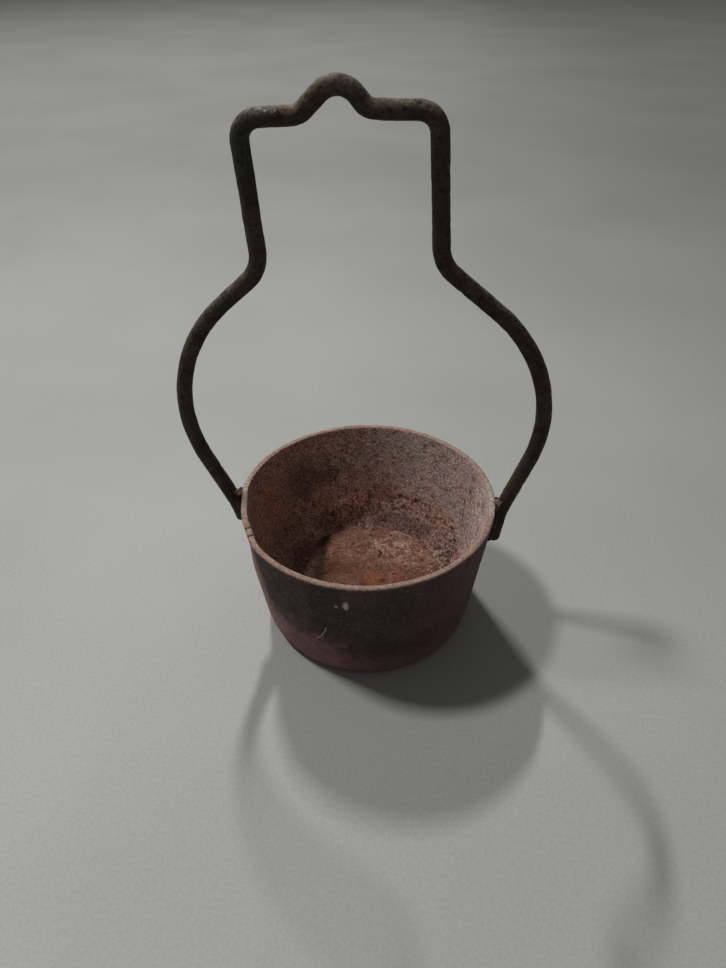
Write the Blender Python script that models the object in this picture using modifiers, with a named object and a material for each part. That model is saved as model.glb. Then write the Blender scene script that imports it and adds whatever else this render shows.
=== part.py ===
"""A cast-iron pot with a tall fixed handle, which is bent from one round bar and welded to the wall.

The origin is the centre of the pot's flat base, +Z is up, and the handle stands in the XZ plane.
Everything is in metres.
"""

import math

import bmesh
import bpy
from mathutils import Vector

COLLECTION = "handled_iron_pot"
MM = 0.001
GAP = 0.3 * MM

# The pot, a casting turned about Z.
POT_HEIGHT = 120 * MM
RIM_RADIUS = 106 * MM
WALL = 5 * MM
WALL_TAPER = 0.127
RIM_EDGE = 1.2 * MM
FOOT_HEIGHT = 22 * MM
BASE_RADIUS = 84.5 * MM
FOOT_SHARPNESS = 0.85
FLOOR_THICKNESS = 26 * MM
INNER_CORNER = 25 * MM
INNER_CORNER_STEPS = 9
POT_STEPS = 72
FOOT_STEPS = 8

# The handle, one round bar. Each bend is (x, height above the rim, bend radius), left end to right end.
BAR_RADIUS = 6 * MM
BAR_END_ROUNDING = 1.6 * MM
LEFT_DEPTH = 29 * MM
RIGHT_DEPTH = 41 * MM
SEAT_BEND_DEPTH = 9.5 * MM
LEFT_TAPER_LENGTH = 20 * MM
LEFT_TAPER_RADIUS = 4.8 * MM
HANDLE_BENDS = [
    (-161.3 * MM, 112.7 * MM, 115.6 * MM),
    (-69.2 * MM, 193.0 * MM, 25 * MM),
    (-74.2 * MM, 285.4 * MM, 13 * MM),
    (-36.9 * MM, 287.2 * MM, 13 * MM),
    (-12.7 * MM, 309.7 * MM, 15 * MM),
    (4.0 * MM, 290.8 * MM, 10 * MM),
    (45.8 * MM, 289.8 * MM, 12.6 * MM),
    (51.6 * MM, 198.7 * MM, 25 * MM),
    (151.7 * MM, 115.9 * MM, 113.8 * MM),
]
SEAT_BEND_RADIUS = 30 * MM
ARC_STEP = 4 * MM

# The welds. A side weld lies in the groove between the bar and the wall, a top weld on the rim.
WELD_RADIUS = 2.5 * MM
WELD_TOP_SETBACK = 5 * MM
WELD_END_SETBACK = 2.5 * MM
WELD_STEPS = 9
TOP_WELD_RADII = (2.1 * MM, 4.5 * MM, 1.7 * MM)
TOP_WELD_SHIFT = 0.2 * MM

IRON_COLOUR = (0.060, 0.036, 0.030, 1.0)
BAR_COLOUR = (0.020, 0.014, 0.012, 1.0)
WELD_COLOUR = (0.105, 0.075, 0.055, 1.0)


def clear_scene():
    for obj in list(bpy.context.scene.objects):
        bpy.data.objects.remove(obj, do_unlink=True)


def new_collection(name):
    collection = bpy.data.collections.new(name)
    bpy.context.scene.collection.children.link(collection)
    return collection


def material(name, colour, roughness, metallic):
    made = bpy.data.materials.new(name)
    made.use_nodes = True
    shader = made.node_tree.nodes["Principled BSDF"]
    shader.inputs["Base Color"].default_value = colour
    shader.inputs["Roughness"].default_value = roughness
    shader.inputs["Metallic"].default_value = metallic
    return made


def add_object(name, data, collection, finish):
    obj = bpy.data.objects.new(name, data)
    data.materials.append(finish)
    collection.objects.link(obj)
    return obj


def wall_radius(height):
    """The outside radius of the straight part of the pot's wall at a height above the base."""
    return RIM_RADIUS - WALL_TAPER * (POT_HEIGHT - height)


def arc(centre, radius, start, end, steps):
    """Points of an arc in a turned profile, as (radius, height), with the angles in degrees."""
    points = []
    for step in range(steps + 1):
        angle = math.radians(start + (end - start) * step / steps)
        points.append((centre[0] + radius * math.cos(angle), centre[1] + radius * math.sin(angle)))
    return points


def pot_profile():
    """The pot's half section: out along the inner floor, up inside, over the rim and down outside."""
    lean = math.atan(WALL_TAPER)
    corner_height = FLOOR_THICKNESS + INNER_CORNER
    wall_height = corner_height - INNER_CORNER * math.sin(lean)
    corner_radius = wall_radius(wall_height) - WALL - INNER_CORNER * math.cos(lean)
    profile = [(0.0, FLOOR_THICKNESS)]
    profile += arc((corner_radius, corner_height), INNER_CORNER, -90, -math.degrees(lean), INNER_CORNER_STEPS)
    inner_rim = (RIM_RADIUS - WALL + RIM_EDGE, POT_HEIGHT - RIM_EDGE)
    profile += arc(inner_rim, RIM_EDGE, 180, 90, 3)
    outer_rim = (RIM_RADIUS - RIM_EDGE, POT_HEIGHT - RIM_EDGE)
    profile += arc(outer_rim, RIM_EDGE, 90, 0, 3)
    overhang = wall_radius(0.0) - BASE_RADIUS
    for step in range(FOOT_STEPS + 1):
        angle = math.radians(90 * step / FOOT_STEPS)
        reach = overhang * max(0.0, math.cos(angle)) ** FOOT_SHARPNESS
        height = FOOT_HEIGHT * (1 - math.sin(angle) ** FOOT_SHARPNESS)
        profile.append((BASE_RADIUS + reach + WALL_TAPER * height, height))
    profile.append((0.0, 0.0))
    return profile


def build_pot(collection, finish):
    profile = pot_profile()
    mesh = bpy.data.meshes.new("pot")
    edges = [(index, index + 1) for index in range(len(profile) - 1)]
    mesh.from_pydata([(radius, 0.0, height) for radius, height in profile], edges, [])
    pot = add_object("pot", mesh, collection, finish)
    turn = pot.modifiers.new("turn", "SCREW")
    turn.axis = "Z"
    turn.steps = POT_STEPS
    turn.render_steps = POT_STEPS
    turn.use_merge_vertices = True
    turn.merge_threshold = 0.00001
    turn.use_smooth_shade = True
    return pot


def fillet(before, corner, after, radius):
    """Points of the bend that joins two straight runs at a corner, about ARC_STEP apart."""
    back = (before - corner).normalized()
    ahead = (after - corner).normalized()
    half = back.angle(ahead) / 2
    middle = (back + ahead).normalized()
    centre = corner + middle * (radius / math.sin(half))
    turn = math.pi - 2 * half
    steps = max(2, math.ceil(turn * radius / ARC_STEP))
    side = (ahead - back).normalized()
    points = []
    for step in range(steps + 1):
        angle = turn * (step / steps - 0.5)
        points.append(centre - middle * radius * math.cos(angle) + side * radius * math.sin(angle))
    return points


def seat_x(height, radius=BAR_RADIUS):
    """How far the bar's centre line is from the pot's axis where the bar lies along the wall."""
    return wall_radius(height) + GAP + radius


def handle_route():
    """The bar's centre line from its left end to its right end, as points in the XZ plane."""
    seat_height = POT_HEIGHT - SEAT_BEND_DEPTH
    left_end = POT_HEIGHT - LEFT_DEPTH
    right_end = POT_HEIGHT - RIGHT_DEPTH
    corners = [(-seat_x(left_end, LEFT_TAPER_RADIUS), left_end, 0.0)]
    corners += [(-seat_x(seat_height), seat_height, SEAT_BEND_RADIUS)]
    corners += [(x, POT_HEIGHT + rise, radius) for x, rise, radius in HANDLE_BENDS]
    corners += [(seat_x(seat_height), seat_height, SEAT_BEND_RADIUS), (seat_x(right_end), right_end, 0.0)]
    places = [Vector((x, 0.0, z)) for x, z, _ in corners]
    route = [places[0]]
    for index in range(1, len(places) - 1):
        route += fillet(places[index - 1], places[index], places[index + 1], corners[index][2])
    route.append(places[-1])
    return route


def tube(name, route, radii, sides, collection, finish):
    """A round rod along a route, with its own radius at each point and closed ends."""
    curve = bpy.data.curves.new(name, "CURVE")
    curve.dimensions = "3D"
    curve.bevel_depth = 1.0
    curve.bevel_resolution = (sides - 4) // 2
    curve.use_fill_caps = True
    spline = curve.splines.new("POLY")
    spline.points.add(len(route) - 1)
    for point, place, radius in zip(spline.points, route, radii):
        point.co = (*place, 1.0)
        point.radius = radius
    return add_object(name, curve, collection, finish)


def build_handle(collection, finish):
    """The bar is hammered thinner towards its left end. The edge of each end is rounded off."""
    route = handle_route()
    near_start = route[0].lerp(route[1], BAR_END_ROUNDING / (route[1] - route[0]).length)
    near_end = route[-1].lerp(route[-2], BAR_END_ROUNDING / (route[-2] - route[-1]).length)
    route = [route[0], near_start] + route[1:-1] + [near_end, route[-1]]
    radii = []
    for place in route:
        share = min(1.0, (place - route[0]).length / LEFT_TAPER_LENGTH)
        radii.append(LEFT_TAPER_RADIUS + (BAR_RADIUS - LEFT_TAPER_RADIUS) * share)
    radii[0] -= BAR_END_ROUNDING
    radii[-1] -= BAR_END_ROUNDING
    return tube("handle", route, radii, 16, collection, finish)


def side_weld_angle(height):
    """The angle round the pot from the bar to a weld that lies against both the bar and the wall."""
    weld_centre = wall_radius(height) + GAP + WELD_RADIUS
    reach = BAR_RADIUS + 2 * GAP + WELD_RADIUS
    cosine = (seat_x(height) ** 2 + weld_centre**2 - reach**2) / (2 * seat_x(height) * weld_centre)
    return math.acos(cosine)


def build_side_weld(name, side, face, depth, collection, finish):
    """side is -1 for the left bar end and 1 for the right. face is -1 for its front and 1 for its rear."""
    top = POT_HEIGHT - WELD_TOP_SETBACK
    bottom = POT_HEIGHT - depth + WELD_END_SETBACK
    route = []
    radii = []
    for step in range(WELD_STEPS):
        share = step / (WELD_STEPS - 1)
        height = top + (bottom - top) * share
        angle = side_weld_angle(height)
        reach = wall_radius(height) + GAP + WELD_RADIUS
        route.append(Vector((side * reach * math.cos(angle), face * reach * math.sin(angle), height)))
        radii.append(WELD_RADIUS * math.sqrt(1 - 0.85 * (2 * share - 1) ** 4))
    return tube(name, route, radii, 10, collection, finish)


def build_top_weld(name, side, collection, finish):
    """A bead on the rim that fills the corner between the rim and the bar leaning out over it."""
    mesh = bpy.data.meshes.new(name)
    shape = bmesh.new()
    bmesh.ops.create_uvsphere(shape, u_segments=16, v_segments=8, radius=1.0)
    bmesh.ops.scale(shape, vec=TOP_WELD_RADII, verts=shape.verts)
    shape.to_mesh(mesh)
    shape.free()
    bead = add_object(name, mesh, collection, finish)
    bead.location = (side * (RIM_RADIUS + TOP_WELD_SHIFT), 0.0, POT_HEIGHT + GAP + TOP_WELD_RADII[2])
    return bead


def main():
    clear_scene()
    collection = new_collection(COLLECTION)
    iron = material("cast_iron", IRON_COLOUR, 0.85, 0.3)
    bar = material("rusted_bar", BAR_COLOUR, 0.75, 0.3)
    weld = material("weld_metal", WELD_COLOUR, 0.7, 0.4)
    build_pot(collection, iron)
    build_handle(collection, bar)
    for word, side, depth in (("left", -1, LEFT_DEPTH), ("right", 1, RIGHT_DEPTH)):
        build_side_weld(f"weld_{word}_front", side, -1, depth, collection, weld)
        build_side_weld(f"weld_{word}_rear", side, 1, depth, collection, weld)
        build_top_weld(f"weld_{word}_top", side, collection, weld)


main()
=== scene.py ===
import math

import bmesh
import bpy
import numpy as np
from mathutils import Matrix, Vector, noise


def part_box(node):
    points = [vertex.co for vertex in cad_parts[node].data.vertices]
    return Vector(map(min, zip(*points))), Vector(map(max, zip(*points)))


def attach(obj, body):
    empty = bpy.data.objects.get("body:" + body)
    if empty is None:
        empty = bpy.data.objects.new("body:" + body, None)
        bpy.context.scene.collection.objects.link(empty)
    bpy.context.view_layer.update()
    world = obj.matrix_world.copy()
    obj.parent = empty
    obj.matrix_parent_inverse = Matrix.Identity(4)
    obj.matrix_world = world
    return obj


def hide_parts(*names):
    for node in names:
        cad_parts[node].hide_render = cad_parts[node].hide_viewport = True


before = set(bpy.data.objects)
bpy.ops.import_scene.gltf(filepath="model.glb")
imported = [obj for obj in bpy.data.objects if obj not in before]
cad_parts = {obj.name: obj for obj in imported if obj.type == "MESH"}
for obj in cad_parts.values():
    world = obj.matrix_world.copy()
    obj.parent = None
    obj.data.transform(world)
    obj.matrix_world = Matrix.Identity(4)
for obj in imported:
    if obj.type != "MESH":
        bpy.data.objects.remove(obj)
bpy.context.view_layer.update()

# A cast-iron pot with a tall fixed handle: the fine surfaces, the finishes, the light and the camera.
# Lengths are in metres. The pot is turned about Z, and the handle stands in the XZ plane.
MM = 0.001

# The pot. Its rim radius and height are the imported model's own.
POT_LOW, POT_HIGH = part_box("pot")
RIM_RADIUS = (POT_HIGH.x - POT_LOW.x) / 2
POT_HEIGHT = POT_HIGH.z
WALL = 5 * MM
WALL_TAPER = 0.127
RIM_EDGE = 1.2 * MM
FOOT_HEIGHT = 22 * MM
BASE_RADIUS = 84.5 * MM
FOOT_SHARPNESS = 0.85
FLOOR_THICKNESS = 26 * MM
INNER_CORNER = 25 * MM

# The fine shape of the casting: how closely it is divided, and how high or deep each kind of relief is.
# The dent's angle round the pot and its reach to either side are in degrees.
ROUND_STEPS = 480
FOOT_STEPS = 16
CORNER_STEPS = 24
EDGE_STEPS = 6
PIT_DEPTH = 0.28 * MM
COARSE_PIT_DEPTH = 0.93 * MM
SCALE_HEIGHT = 0.5 * MM
CRUST_HEIGHT = 0.9 * MM
LEDGE_DEPTH = 0.5 * MM
NICK_DEPTH = 1.6 * MM
NICK_WIDTH = 1.5 * MM
OUT_OF_TRUE = 0.0035
DENT_DEPTH = 2.7 * MM
DENT_ANGLE = 197
DENT_REACH = 24
CRUST_ANGLE = math.radians(68)
CRUST_TOP = 44 * MM
CRUST_CREST = 18 * MM
CRUST_FADE = 15 * MM

# The handle, one round bar.
BAR_RADIUS = 6 * MM
GAP = 0.3 * MM
LEFT_DEPTH = 29 * MM
RIGHT_DEPTH = 41 * MM
SEAT_BEND_DEPTH = 9.5 * MM
LEFT_TAPER_LENGTH = 20 * MM
LEFT_TAPER_RADIUS = 4.8 * MM
SEAT_BEND_RADIUS = 30 * MM
LEFT_END_ROUNDING = 1.2 * MM
RIGHT_END_ROUNDING = 3.6 * MM
BAR_SIDES = 56
RING_STEP = 0.95 * MM

# Each bend of the bar is (x, height above the rim, bend radius), from its left end to its right end.
HANDLE_BENDS = [
    (-161.3 * MM, 112.7 * MM, 115.6 * MM),
    (-69.2 * MM, 193.0 * MM, 25 * MM),
    (-74.2 * MM, 285.4 * MM, 13 * MM),
    (-36.9 * MM, 287.2 * MM, 13 * MM),
    (-12.7 * MM, 309.7 * MM, 15 * MM),
    (4.0 * MM, 290.8 * MM, 10 * MM),
    (45.8 * MM, 289.8 * MM, 12.6 * MM),
    (51.6 * MM, 198.7 * MM, 25 * MM),
    (151.7 * MM, 115.9 * MM, 113.8 * MM),
]


# Camera and stage


# The camera's lens and sensor are in millimetres, and its turns in degrees.
CAMERA_PLACE = (0.0379, -0.4634, 0.5025)
CAMERA_TURN = 5.0
CAMERA_TILT = 51.49
CAMERA_ROLL = -1.02
CAMERA_LENS = 27.0
CAMERA_SENSOR = 36.0

# Each lamp is its name, its place, its width and length, and its power in watts.
LAMPS = [
    ("lamp_left", (-2.29, 0.53, 4.5), (0.45, 0.6), 118.0),
    ("lamp_behind", (-1.50, 4.00, 4.6), (0.2, 0.75), 185.0),
]
LAMP_COLOUR = (1.0, 0.99, 0.96)

# The level direction that the lamps' lengths follow.
LAMP_LINE = Vector((0.2, 0.98, 0.0))

# The even light's colour, the backdrop's colour, and the reach of the floor.
WORLD_FILL = (0.125, 0.125, 0.124)
WORLD_BACKDROP = (0.50, 0.50, 0.485)
STAGE_RADIUS = 9.0


def add_camera():
    """A wide phone lens, a little right of the pot's middle, looking down over the front of the rim."""
    data = bpy.data.cameras.new("camera")
    data.sensor_width = CAMERA_SENSOR
    data.lens = CAMERA_LENS
    camera = bpy.data.objects.new("camera", data)
    bpy.context.scene.collection.objects.link(camera)
    turn = Matrix.Rotation(math.radians(CAMERA_TURN), 4, "Z")
    tilt = Matrix.Rotation(math.radians(CAMERA_TILT), 4, "X")
    roll = Matrix.Rotation(math.radians(CAMERA_ROLL), 4, "Z")
    camera.matrix_world = Matrix.Translation(CAMERA_PLACE) @ turn @ tilt @ roll
    bpy.context.scene.camera = camera


def add_lamp(name, place, size, power):
    """A soft lamp that faces the pot. Its length keeps to LAMP_LINE as far as that lets it."""
    place = Vector(place)
    back = (place - Vector((0.0, 0.0, POT_HEIGHT / 2))).normalized()
    across = LAMP_LINE.cross(back).normalized()
    data = bpy.data.lights.new(name, "AREA")
    data.shape = "RECTANGLE"
    data.size, data.size_y = size
    data.energy = power
    data.color = LAMP_COLOUR
    lamp = bpy.data.objects.new(name, data)
    bpy.context.scene.collection.objects.link(lamp)
    turn = Matrix((across, back.cross(across), back)).transposed()
    lamp.matrix_world = Matrix.Translation(place) @ turn.to_4x4()


def add_world(fill, backdrop):
    """Weak even light from all round. The camera sees a paler backdrop than the light that it gives."""
    world = bpy.data.worlds.new("studio")
    bpy.context.scene.world = world
    world.use_nodes = True
    nodes = world.node_tree.nodes
    links = world.node_tree.links
    nodes.clear()
    output = nodes.new("ShaderNodeOutputWorld")
    mix = nodes.new("ShaderNodeMixShader")
    seen = nodes.new("ShaderNodeLightPath")
    lights = nodes.new("ShaderNodeBackground")
    shows = nodes.new("ShaderNodeBackground")
    lights.inputs["Color"].default_value = (*fill, 1.0)
    shows.inputs["Color"].default_value = (*backdrop, 1.0)
    links.new(seen.outputs["Is Camera Ray"], mix.inputs[0])
    links.new(lights.outputs[0], mix.inputs[1])
    links.new(shows.outputs[0], mix.inputs[2])
    links.new(mix.outputs[0], output.inputs["Surface"])


# Material tools


class Finish:
    """A material under construction. Sizes are in metres, in the object's own coordinates."""

    def __init__(self, name, specular):
        self.material = bpy.data.materials.new(name)
        self.material.use_nodes = True
        self.tree = self.material.node_tree
        self.shader = self.tree.nodes["Principled BSDF"]
        self.shader.inputs["Specular IOR Level"].default_value = specular
        self.place = self.node("ShaderNodeTexCoord").outputs["Object"]

    def node(self, kind, inputs=(), **settings):
        made = self.tree.nodes.new(kind)
        for key, value in settings.items():
            setattr(made, key, value)
        for key, value in dict(inputs).items():
            self.feed(made.inputs[key], value)
        return made

    def feed(self, socket, value):
        if isinstance(value, bpy.types.NodeSocket):
            self.tree.links.new(value, socket)
        else:
            socket.default_value = value

    def math(self, operation, first, second=0.0, clamp=False):
        made = self.node("ShaderNodeMath", operation=operation, use_clamp=clamp)
        self.feed(made.inputs[0], first)
        self.feed(made.inputs[1], second)
        return made.outputs[0]

    def vector(self, operation, first, second=(0.0, 0.0, 0.0), output=0):
        """Vector arithmetic. A length, a distance or a dot product comes out of the output "Value"."""
        made = self.node("ShaderNodeVectorMath", {0: first, 1: second}, operation=operation)
        return made.outputs[output]

    def moved(self, shift):
        """The place shifted by as much along each axis, so that each noise has its own pattern."""
        made = self.node("ShaderNodeMapping", {"Vector": self.place, "Location": (shift, shift, shift)})
        return made.outputs[0]

    def grain(self, size, shift, detail=3.0, rough=0.55):
        """Cloudy noise between 0 and 1 with features of about the given size."""
        inputs = {"Vector": self.moved(shift), "Scale": 1 / size, "Detail": detail, "Roughness": rough}
        return self.node("ShaderNodeTexNoise", inputs).outputs[0]

    def cells(self, size):
        """Distance to the nearest of scattered points, in units of their spacing."""
        inputs = {"Vector": self.place, "Scale": 1 / size}
        return self.node("ShaderNodeTexVoronoi", inputs).outputs["Distance"]

    def ease(self, value, low, high, start=0.0, end=1.0):
        """A smooth step from start to end as the value goes from low to high."""
        made = self.node("ShaderNodeMapRange", interpolation_type="SMOOTHSTEP")
        for key, number in zip(range(5), (value, low, high, start, end)):
            self.feed(made.inputs[key], number)
        return made.outputs[0]

    def mix(self, share, first, second, blend="MIX"):
        made = self.node("ShaderNodeMix", data_type="RGBA", blend_type=blend)
        self.feed(made.inputs[0], share)
        for key, value in ((6, first), (7, second)):
            self.feed(made.inputs[key], value if isinstance(value, bpy.types.NodeSocket) else (*value, 1.0))
        return made.outputs[2]

    def shade(self, colour, factor):
        """The colour made darker or lighter by a number."""
        grey = self.node("ShaderNodeCombineColor")
        for key in range(3):
            self.feed(grey.inputs[key], factor)
        return self.mix(1.0, colour, grey.outputs[0], "MULTIPLY")

    def mark(self, name):
        """A number that the mesh carries at each of its points."""
        return self.node("ShaderNodeAttribute", attribute_name=name).outputs["Fac"]

    def patch(self, centre, radii, ragged=0.5):
        """1 in a ragged patch round a point and 0 away from it. Its centre and radii are in millimetres."""
        near = self.vector("SUBTRACT", self.place, Vector(centre) * MM)
        away = self.vector("LENGTH", self.vector("DIVIDE", near, Vector(radii) * MM), output="Value")
        wobble = self.math("SUBTRACT", self.grain(min(radii) * 0.4 * MM, centre[2], 5.0, 0.6), 0.5)
        reach = self.math("ADD", away, self.math("MULTIPLY", wobble, 4 * ragged))
        return self.ease(reach, 0.5, 1.3, 1.0, 0.0)

    def stroke(self, points, width):
        """1 on a line through points in millimetres, easing to 0 at a distance of width to either side."""
        nearest = 1.0
        for start, end in zip(points, points[1:]):
            start = Vector(start) * MM
            run = Vector(end) * MM - start
            near = self.vector("SUBTRACT", self.place, start)
            along = self.vector("DOT_PRODUCT", near, run / run.length_squared, "Value")
            share = self.math("MINIMUM", self.math("MAXIMUM", along, 0.0), 1.0)
            foot = self.node("ShaderNodeVectorMath", {0: run, "Scale": share}, operation="SCALE").outputs[0]
            nearest = self.math("MINIMUM", self.vector("DISTANCE", near, foot, "Value"), nearest)
        return self.ease(nearest, 0.3 * width * MM, width * MM, 1.0, 0.0)

    def flecks(self, size, share, shift, width=0.34):
        """1 in small round spots about size apart and 0 between them. Only a share of the spots is there."""
        inputs = {"Vector": self.moved(shift), "Scale": 1 / size}
        cells = self.node("ShaderNodeTexVoronoi", inputs)
        chance = self.node("ShaderNodeSeparateColor", {0: cells.outputs["Color"]}).outputs[0]
        there = self.math("LESS_THAN", chance, share)
        spots = self.ease(cells.outputs["Distance"], 0.5 * width, width, 1.0, 0.0)
        return self.math("MULTIPLY", there, spots)

    def blend(self, colour, share, scale, tint):
        """The colour with a tint laid over it, where share times scale is how much."""
        return self.mix(self.math("MULTIPLY", share, scale), colour, tint)

    def stain(self, colour, centre, radii, scale, tint, ragged=0.5):
        """The colour with a tint laid over it in a ragged patch round a point."""
        return self.blend(colour, self.patch(centre, radii, ragged), scale, tint)

    def axis(self, index):
        split = self.node("ShaderNodeSeparateXYZ", {0: self.place})
        return split.outputs[index]

    def reach(self):
        """The distance from the pot's axis."""
        flat = self.vector("MULTIPLY", self.place, (1.0, 1.0, 0.0))
        return self.vector("LENGTH", flat, output="Value")

    def bump(self, height, depth):
        """Fine relief, with depth as the height in metres of a change from 0 to 1."""
        inputs = {"Strength": 1.0, "Distance": depth, "Height": height}
        return self.node("ShaderNodeBump", inputs).outputs[0]

    def finish(self, colour, roughness, normal):
        self.feed(self.shader.inputs["Base Color"], colour)
        self.feed(self.shader.inputs["Roughness"], roughness)
        self.feed(self.shader.inputs["Normal"], normal)
        return self.material


# Shape tools


def smooth(value):
    value = min(1.0, max(0.0, value))
    return value * value * (3 - 2 * value)


def step_up(value, low, high):
    """A smooth step from 0 to 1 as the value goes from low to high."""
    return smooth((value - low) / (high - low))


def pitting(place, size, share, seed):
    """How deep a place is in a rust pit, from 0 to 1. A share of the spots about size apart are pits."""
    distances, centres = noise.voronoi(place / size + Vector((seed, seed * 1.7, -seed)))
    if noise.cell(centres[0] * 9.7) > share:
        return 0.0
    width = 0.3 + 0.35 * noise.cell(centres[0] * 5.3)
    return smooth(1.2 * (1 - distances[0] / width))


def cloud(place, size, octaves, seed):
    """Noise between about -1 and 1 with features of about the given size."""
    return noise.fractal(place / size + Vector((seed, -seed, seed * 0.6)), 1.0, 2.0, octaves)


def near_line(place, points, width):
    """1 on a line through points in millimetres, easing to 0 at a distance of width to either side."""
    nearest = 1.0
    points = [Vector(point) * MM for point in points]
    for start, end in zip(points, points[1:]):
        run = end - start
        share = min(1.0, max(0.0, (place - start).dot(run) / run.length_squared))
        nearest = min(nearest, (place - start - run * share).length)
    return smooth(1 - nearest / width)


def ring_faces(first, second):
    """The faces between two rings of points that run round the same way."""
    following = first[1:] + first[:1], second[1:] + second[:1]
    return list(zip(first, second, following[1], following[0]))


def add_mesh(name, places, faces, finish, marks=(), sharp=None):
    mesh = bpy.data.meshes.new(name)
    mesh.from_pydata([tuple(place) for place in places], [], faces)
    mesh.shade_smooth()
    if sharp:
        mesh.set_sharp_from_angle(angle=math.radians(sharp))
    for key, values in dict(marks).items():
        layer = mesh.attributes.new(key, "FLOAT", "POINT")
        layer.data.foreach_set("value", values)
    mesh.materials.append(finish)
    made = bpy.data.objects.new(name, mesh)
    bpy.context.scene.collection.objects.link(made)
    return made


# The pot


def wall_radius(height):
    """The outside radius of the straight part of the pot's wall at a height above the base."""
    return RIM_RADIUS - WALL_TAPER * (POT_HEIGHT - height)


# The wall leans out, and the flat disc of the inner floor ends where the curve up to the wall begins.
LEAN = math.atan(WALL_TAPER)
CORNER_TOP = FLOOR_THICKNESS + INNER_CORNER * (1 - math.sin(LEAN))
DISC_RADIUS = wall_radius(CORNER_TOP) - WALL - INNER_CORNER * math.cos(LEAN)


def arc(centre, radius, start, end, steps):
    """Points of an arc in a turned profile, as (radius, height), with the angles in degrees."""
    points = []
    for step in range(steps + 1):
        angle = math.radians(start + (end - start) * step / steps)
        points.append((centre[0] + radius * math.cos(angle), centre[1] + radius * math.sin(angle)))
    return points


def spaced(points, spacing):
    """The same line with its points an even distance apart, about as far as spacing."""
    points = np.array(points)
    along = np.concatenate([[0.0], np.cumsum(np.linalg.norm(np.diff(points, axis=0), axis=1))])
    places = np.linspace(0.0, along[-1], max(2, round(along[-1] / spacing) + 1))
    return np.stack([np.interp(places, along, points[:, axis]) for axis in range(points.shape[1])], axis=1)


def pot_profile():
    """The pot's half section from the edge of the flat inner floor to the middle of the base."""
    corner = (DISC_RADIUS, FLOOR_THICKNESS + INNER_CORNER)
    inner_rim = (RIM_RADIUS - WALL + RIM_EDGE, POT_HEIGHT - RIM_EDGE)
    outer_rim = (RIM_RADIUS - RIM_EDGE, POT_HEIGHT - RIM_EDGE)
    overhang = wall_radius(0.0) - BASE_RADIUS
    foot = []
    for step in range(FOOT_STEPS + 1):
        angle = math.radians(90 * step / FOOT_STEPS)
        reach = overhang * max(0.0, math.cos(angle)) ** FOOT_SHARPNESS
        height = FOOT_HEIGHT * (1 - math.sin(angle) ** FOOT_SHARPNESS)
        foot.append((BASE_RADIUS + reach + WALL_TAPER * height, height))
    inside = arc(corner, INNER_CORNER, -90, -math.degrees(LEAN), CORNER_STEPS)
    over = arc(inner_rim, RIM_EDGE, 180, 90, EDGE_STEPS) + arc(outer_rim, RIM_EDGE, 90, 0, EDGE_STEPS)
    stretches = [
        spaced(inside + over[:1], 1.3 * MM),
        spaced(over, 0.8 * MM),
        spaced(over[-1:] + foot[:1], 1.65 * MM),
        spaced(foot, 1.8 * MM),
        spaced([foot[-1], (6 * MM, 0.0)], 9 * MM),
    ]
    return np.concatenate([stretches[0]] + [stretch[1:] for stretch in stretches[1:]])


def disc_grid(radius, height, steps):
    """An even grid over a disc, from a square of steps by steps whose edge becomes the circle."""
    places = []
    for row in range(steps + 1):
        for column in range(steps + 1):
            across = 2 * column / steps - 1
            along = 2 * row / steps - 1
            if max(abs(across), abs(along)) < 1e-9:
                places.append(Vector((0.0, 0.0, height)))
                continue
            if abs(across) >= abs(along):
                reach = across
                angle = math.pi / 4 * along / across
            else:
                reach = along
                angle = math.pi / 2 - math.pi / 4 * across / along
            reach *= radius
            places.append(Vector((reach * math.cos(angle), reach * math.sin(angle), height)))
    return places


def grid_edge(steps):
    """The numbers of the grid's edge points, once round anticlockwise from the corner at 45 degrees."""
    side = steps + 1
    edge = [steps * side + column for column in range(steps, 0, -1)]
    edge += [row * side for row in range(steps, 0, -1)]
    edge += [column for column in range(steps)]
    edge += [row * side + steps for row in range(steps)]
    return edge


def dented(place, share=1.0):
    """The wall isn't quite round: it is a little out of true, and pushed in at the left of the rim."""
    warp = 1 + OUT_OF_TRUE * cloud(Vector((place.x, place.y, place.z * 0.5)), 90 * MM, 2, 11.0)
    radius = math.hypot(place.x, place.y)
    if radius < 50 * MM:
        return place
    away = abs(math.degrees(math.atan2(place.y, place.x)) % 360 - DENT_ANGLE)
    dent = DENT_DEPTH * smooth(1.6 * (1 - away / DENT_REACH)) * step_up(place.z, 62 * MM, 100 * MM)
    warp -= share * dent / radius
    return Vector((place.x * warp, place.y * warp, place.z))


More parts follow.
